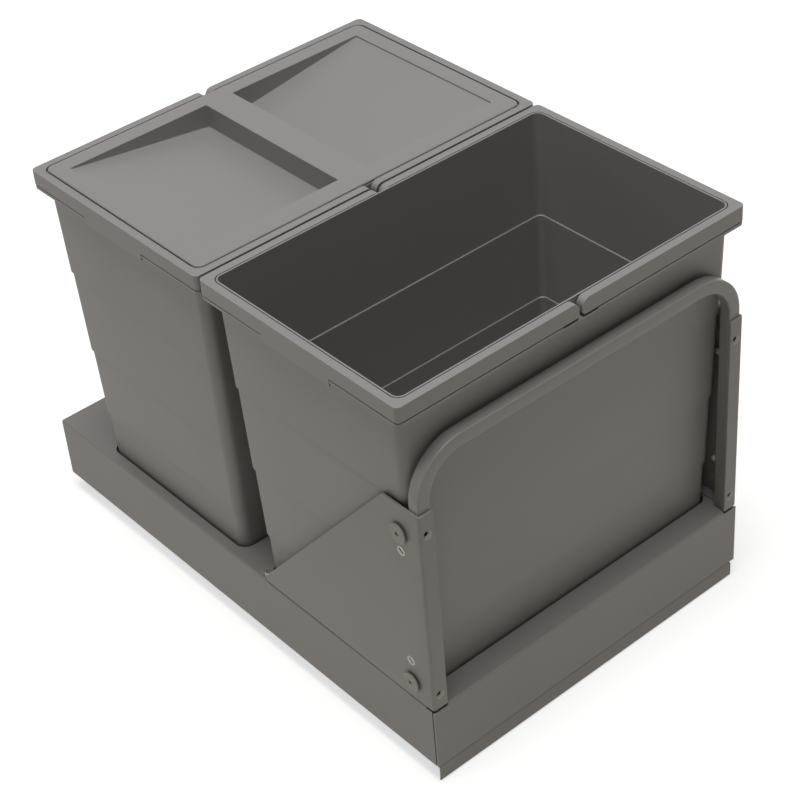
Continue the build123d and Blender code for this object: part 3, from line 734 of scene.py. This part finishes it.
def turned(rings, arms=(), arm_deep=0.0, sides=48):
    """Round part about Z, from its front face back through (radius, height) rings. A slot or
    a cross, given by half lengths and half widths, is sunk into the face."""
    bm = bmesh.new()
    verts = bmesh.ops.create_circle(bm, cap_ends=True, segments=sides, radius=rings[0][0])["verts"]
    bmesh.ops.translate(bm, vec=(0, 0, rings[0][1]), verts=verts)
    for half_x, half_y in arms:
        for way in (-1, 1):
            cut_at(bm, (way * half_x, 0, 0), (1, 0, 0))
            cut_at(bm, (0, way * half_y, 0), (0, 1, 0))
    sunk = [face for face in bm.faces if any(
        abs(face.calc_center_median().x) < half_x and abs(face.calc_center_median().y) < half_y
        for half_x, half_y in arms)]
    if sunk:
        made = bmesh.ops.extrude_face_region(bm, geom=sunk)["geom"]
        bmesh.ops.delete(bm, geom=sunk, context="FACES")
        bmesh.ops.translate(bm, vec=(0, 0, -arm_deep), verts=verts_of(made))
    loop = [edge for edge in bm.edges if edge.is_boundary]
    for (radius, height), (next_radius, next_height) in zip(rings, rings[1:]):
        made = bmesh.ops.extrude_edge_only(bm, edges=loop)["geom"]
        loop, verts = edges_of(made), verts_of(made)
        grow = next_radius / radius
        bmesh.ops.scale(bm, vec=(grow, grow, 1), verts=verts)
        bmesh.ops.translate(bm, vec=(0, 0, next_height - height), verts=verts)
    cap(bm, loop)
    return bm


def outward(hand, y, z, turn=0.0):
    """Place on a side's outer face, with Z pointing away from the unit."""
    return (Matrix.Translation((hand * side, y, z)) @ Matrix.Rotation(hand * radians(90), 4, "Y")
            @ Matrix.Rotation(radians(turn), 4, "Z"))


def put_copies(bm, places):
    """Copies the mesh to every place and clears the one it was made from."""
    whole = bm.verts[:] + bm.edges[:] + bm.faces[:]
    for place in places:
        copied = bmesh.ops.duplicate(bm, geom=whole)["geom"]
        bmesh.ops.transform(bm, matrix=place, verts=verts_of(copied))
    bmesh.ops.delete(bm, geom=verts_of(whole), context="VERTS")


disc_rings = [(7.5 * mm, 2.8 * mm), (7.8 * mm, 3.0 * mm), (8.8 * mm, 3.0 * mm),
              (9.15 * mm, 2.6 * mm), (9.15 * mm, 1.7 * mm), (4.0 * mm, 1.7 * mm),
              (4.0 * mm, -2.2 * mm), (5.2 * mm, -2.2 * mm), (5.2 * mm, -3.5 * mm)]
disc_cross, disc_cross_deep = ((2.4 * mm, 0.6 * mm), (0.6 * mm, 2.4 * mm)), 1.4 * mm
disc_turns = {"lower": 30.0, "upper": 12.0}
lock_rings = [(4.4 * mm, 0.0), (2.0 * mm, -1.8 * mm), (2.0 * mm, -5.2 * mm)]
lock_slot, lock_slot_deep, lock_turn = ((2.7 * mm, 1.1 * mm),), 1.0 * mm, 55.0
nut_rings = [(1.4 * mm, -5.4 * mm), (1.8 * mm, -5.0 * mm), (2.8 * mm, -4.4 * mm),
             (2.8 * mm, -2.1 * mm)]
foot_rings = [(1.0 * mm, 1.7 * mm), (1.0 * mm, 0.4 * mm), (2.3 * mm, 0.4 * mm),
              (2.3 * mm, 1.8 * mm), (2.9 * mm, 1.5 * mm), (3.3 * mm, 0.8 * mm),
              (3.3 * mm, 0.0), (1.45 * mm, 0.0), (1.45 * mm, -6.0 * mm)]
clinch_rings = [(3.0 * mm, 0.02 * mm), (3.25 * mm, 0.14 * mm), (3.55 * mm, 0.14 * mm),
                (3.8 * mm, -0.3 * mm)]
clinch_inset, clinch_heights = 8.4 * mm, (tray_low + 10.0 * mm, tray_low + 33.0 * mm)
fine_edge = 0.1 * mm
lock_places = [(hand, front + disc_setback, z) for hand in hands.values() for z in lock_heights]

for hand_name, hand in hands.items():
    for level, z in zip(("lower", "upper"), disc_heights):
        bm = turned(disc_rings, disc_cross, disc_cross_deep)
        place = outward(hand, front + disc_setback, z, disc_turns[level])
        bmesh.ops.transform(bm, matrix=place, verts=bm.verts[:])
        name = f"adjuster_{level}_{hand_name}"
        piece(f"{level}_disc_{hand_name}", bm, cast_grey, name, [name],
              edge=fine_edge)

bm = turned(lock_rings, lock_slot, lock_slot_deep)
put_copies(bm, [outward(*place, lock_turn) for place in lock_places])
piece("slotted_lock_screws", bm, dull_plate, "pullout", ["lock_screws"],
      edge=fine_edge)

bm = turned(nut_rings)
put_copies(bm, [outward(*place) for place in lock_places])
piece("lock_screw_nuts", bm, zinc_with_painted_light, "pullout")

bm = turned(foot_rings)
put_copies(bm, [Matrix.Translation((hand * (side - foot_hole_inset), y, tray_top + sheet))
                for hand in hands.values() for y in foot_hole_places])
piece("pan_head_screws", bm, dull_plate, "pullout", ["foot_screws"],
      edge=fine_edge)

bm = turned(clinch_rings)
put_copies(bm, [outward(hand, y, z) for hand in hands.values()
                for y in (front + clinch_inset, back - clinch_inset) for z in clinch_heights])
piece("tray_clinches", bm, powder_coat, "pullout")


# ---------------------------------------------------------------- floor, light and camera
# Pale studio floor that keeps the unit's shadow and fades to white further out, a faint even
# surround and three large soft lamps: a neutral one overhead and two low ones, from the left
# and, warmer, from the front.

floor_size, floor_drop, floor_rough = 12.0, 0.2 * mm, 0.9
floor_colour, glow_colour = (0.80, 0.76, 0.66, 1), (0.95, 0.97, 1.0, 1)
near_glow, far_glow, fade_start, fade_end = 0.64, 1.0, 0.9, 2.6
surround_strength = 0.05
lamps = {
    "overhead": ((-0.3, -0.2, 3.2), 1.6, 68.5, (0.96, 0.99, 1.04)),
    "left_low": ((-2.7, 1.2, 0.35), 1.2, 3.0, (1.0, 0.92, 0.86)),
    "front_low": ((0.3, -3.0, 0.5), 1.2, 0.5, (1.0, 0.62, 0.0)),
}


def background_rays(tree):
    """Mask of the rays that show the background: the camera's, and those in metal or glass."""
    path = tree.nodes.new("ShaderNodeLightPath")
    mask = path.outputs["Is Camera Ray"]
    for kind in ("Is Glossy Ray", "Is Transmission Ray"):
        most = tree.nodes.new("ShaderNodeMath")
        most.operation = "MAXIMUM"
        tree.links.new(mask, most.inputs[0])
        tree.links.new(path.outputs[kind], most.inputs[1])
        mask = most.outputs["Value"]
    return mask


floor_material = bpy.data.materials.new("pale_floor")
floor_material.use_nodes = True
tree = floor_material.node_tree
shader = tree.nodes["Principled BSDF"]
shader.inputs["Base Color"].default_value = floor_colour
shader.inputs["Roughness"].default_value = floor_rough
shader.inputs["Emission Color"].default_value = glow_colour
place = tree.nodes.new("ShaderNodeTexCoord")
away = tree.nodes.new("ShaderNodeVectorMath")
away.operation = "LENGTH"
glow = tree.nodes.new("ShaderNodeMapRange")
for socket, value in zip(("From Min", "From Max", "To Min", "To Max"),
                         (fade_start, fade_end, near_glow, far_glow)):
    glow.inputs[socket].default_value = value
seen = tree.nodes.new("ShaderNodeMath")
seen.operation = "MULTIPLY"
tree.links.new(place.outputs["Object"], away.inputs[0])
tree.links.new(away.outputs["Value"], glow.inputs["Value"])
tree.links.new(glow.outputs["Result"], seen.inputs[0])
tree.links.new(background_rays(tree), seen.inputs[1])
tree.links.new(seen.outputs["Value"], shader.inputs["Emission Strength"])

bm = bmesh.new()
bmesh.ops.create_grid(bm, x_segments=1, y_segments=1, size=floor_size)
bmesh.ops.translate(bm, vec=(0, 0, -floor_drop), verts=bm.verts[:])
floor = mesh_object("studio_floor", bm, floor_material)

world = bpy.data.worlds.new("studio")
bpy.context.scene.world = world
world.use_nodes = True
tree = world.node_tree
sky = tree.nodes["Background"]
sky.inputs["Color"].default_value = (1, 1, 1, 1)
strength = tree.nodes.new("ShaderNodeMapRange")
strength.inputs["To Min"].default_value = surround_strength
strength.inputs["To Max"].default_value = 1.0
tree.links.new(background_rays(tree), strength.inputs["Value"])
tree.links.new(strength.outputs["Result"], sky.inputs["Strength"])

for name, (place, size, power, colour) in lamps.items():
    lamp_data = bpy.data.lights.new(name, "AREA")
    lamp_data.shape = "SQUARE"
    lamp_data.size = size
    lamp_data.energy = power
    lamp_data.color = colour
    lamp = bpy.data.objects.new(name, lamp_data)
    aim = Vector((0, 0, rim / 2)) - Vector(place)
    turn = aim.to_track_quat("-Z", "Y").to_matrix()
    lamp.matrix_world = Matrix.Translation(place) @ turn.to_4x4()
    bpy.context.scene.collection.objects.link(lamp)

# The camera's place was solved from the tray's and rings' edges.
azimuth, elevation, roll = radians(-37.855), radians(37.592), radians(-4.982)
target, distance = Vector((-18.62 * mm, -55.0 * mm, 191.13 * mm)), 1750.02 * mm
focal_pixels, photo_pixels, sensor = 2055.283, 800, 36.0
camera_data = bpy.data.cameras.new("photo_view")
camera_data.sensor_width = sensor
camera_data.lens = sensor * (focal_pixels / photo_pixels)
camera = bpy.data.objects.new("photo_view", camera_data)
turn = (Matrix.Rotation(azimuth, 4, "Z") @ Matrix.Rotation(radians(90) - elevation, 4, "X")
        @ Matrix.Rotation(roll, 4, "Z"))
camera.matrix_world = Matrix.Translation(target + turn @ Vector((0, 0, distance))) @ turn
bpy.context.scene.collection.objects.link(camera)
bpy.context.scene.camera = camera
bpy.context.scene.view_settings.view_transform = "Standard"
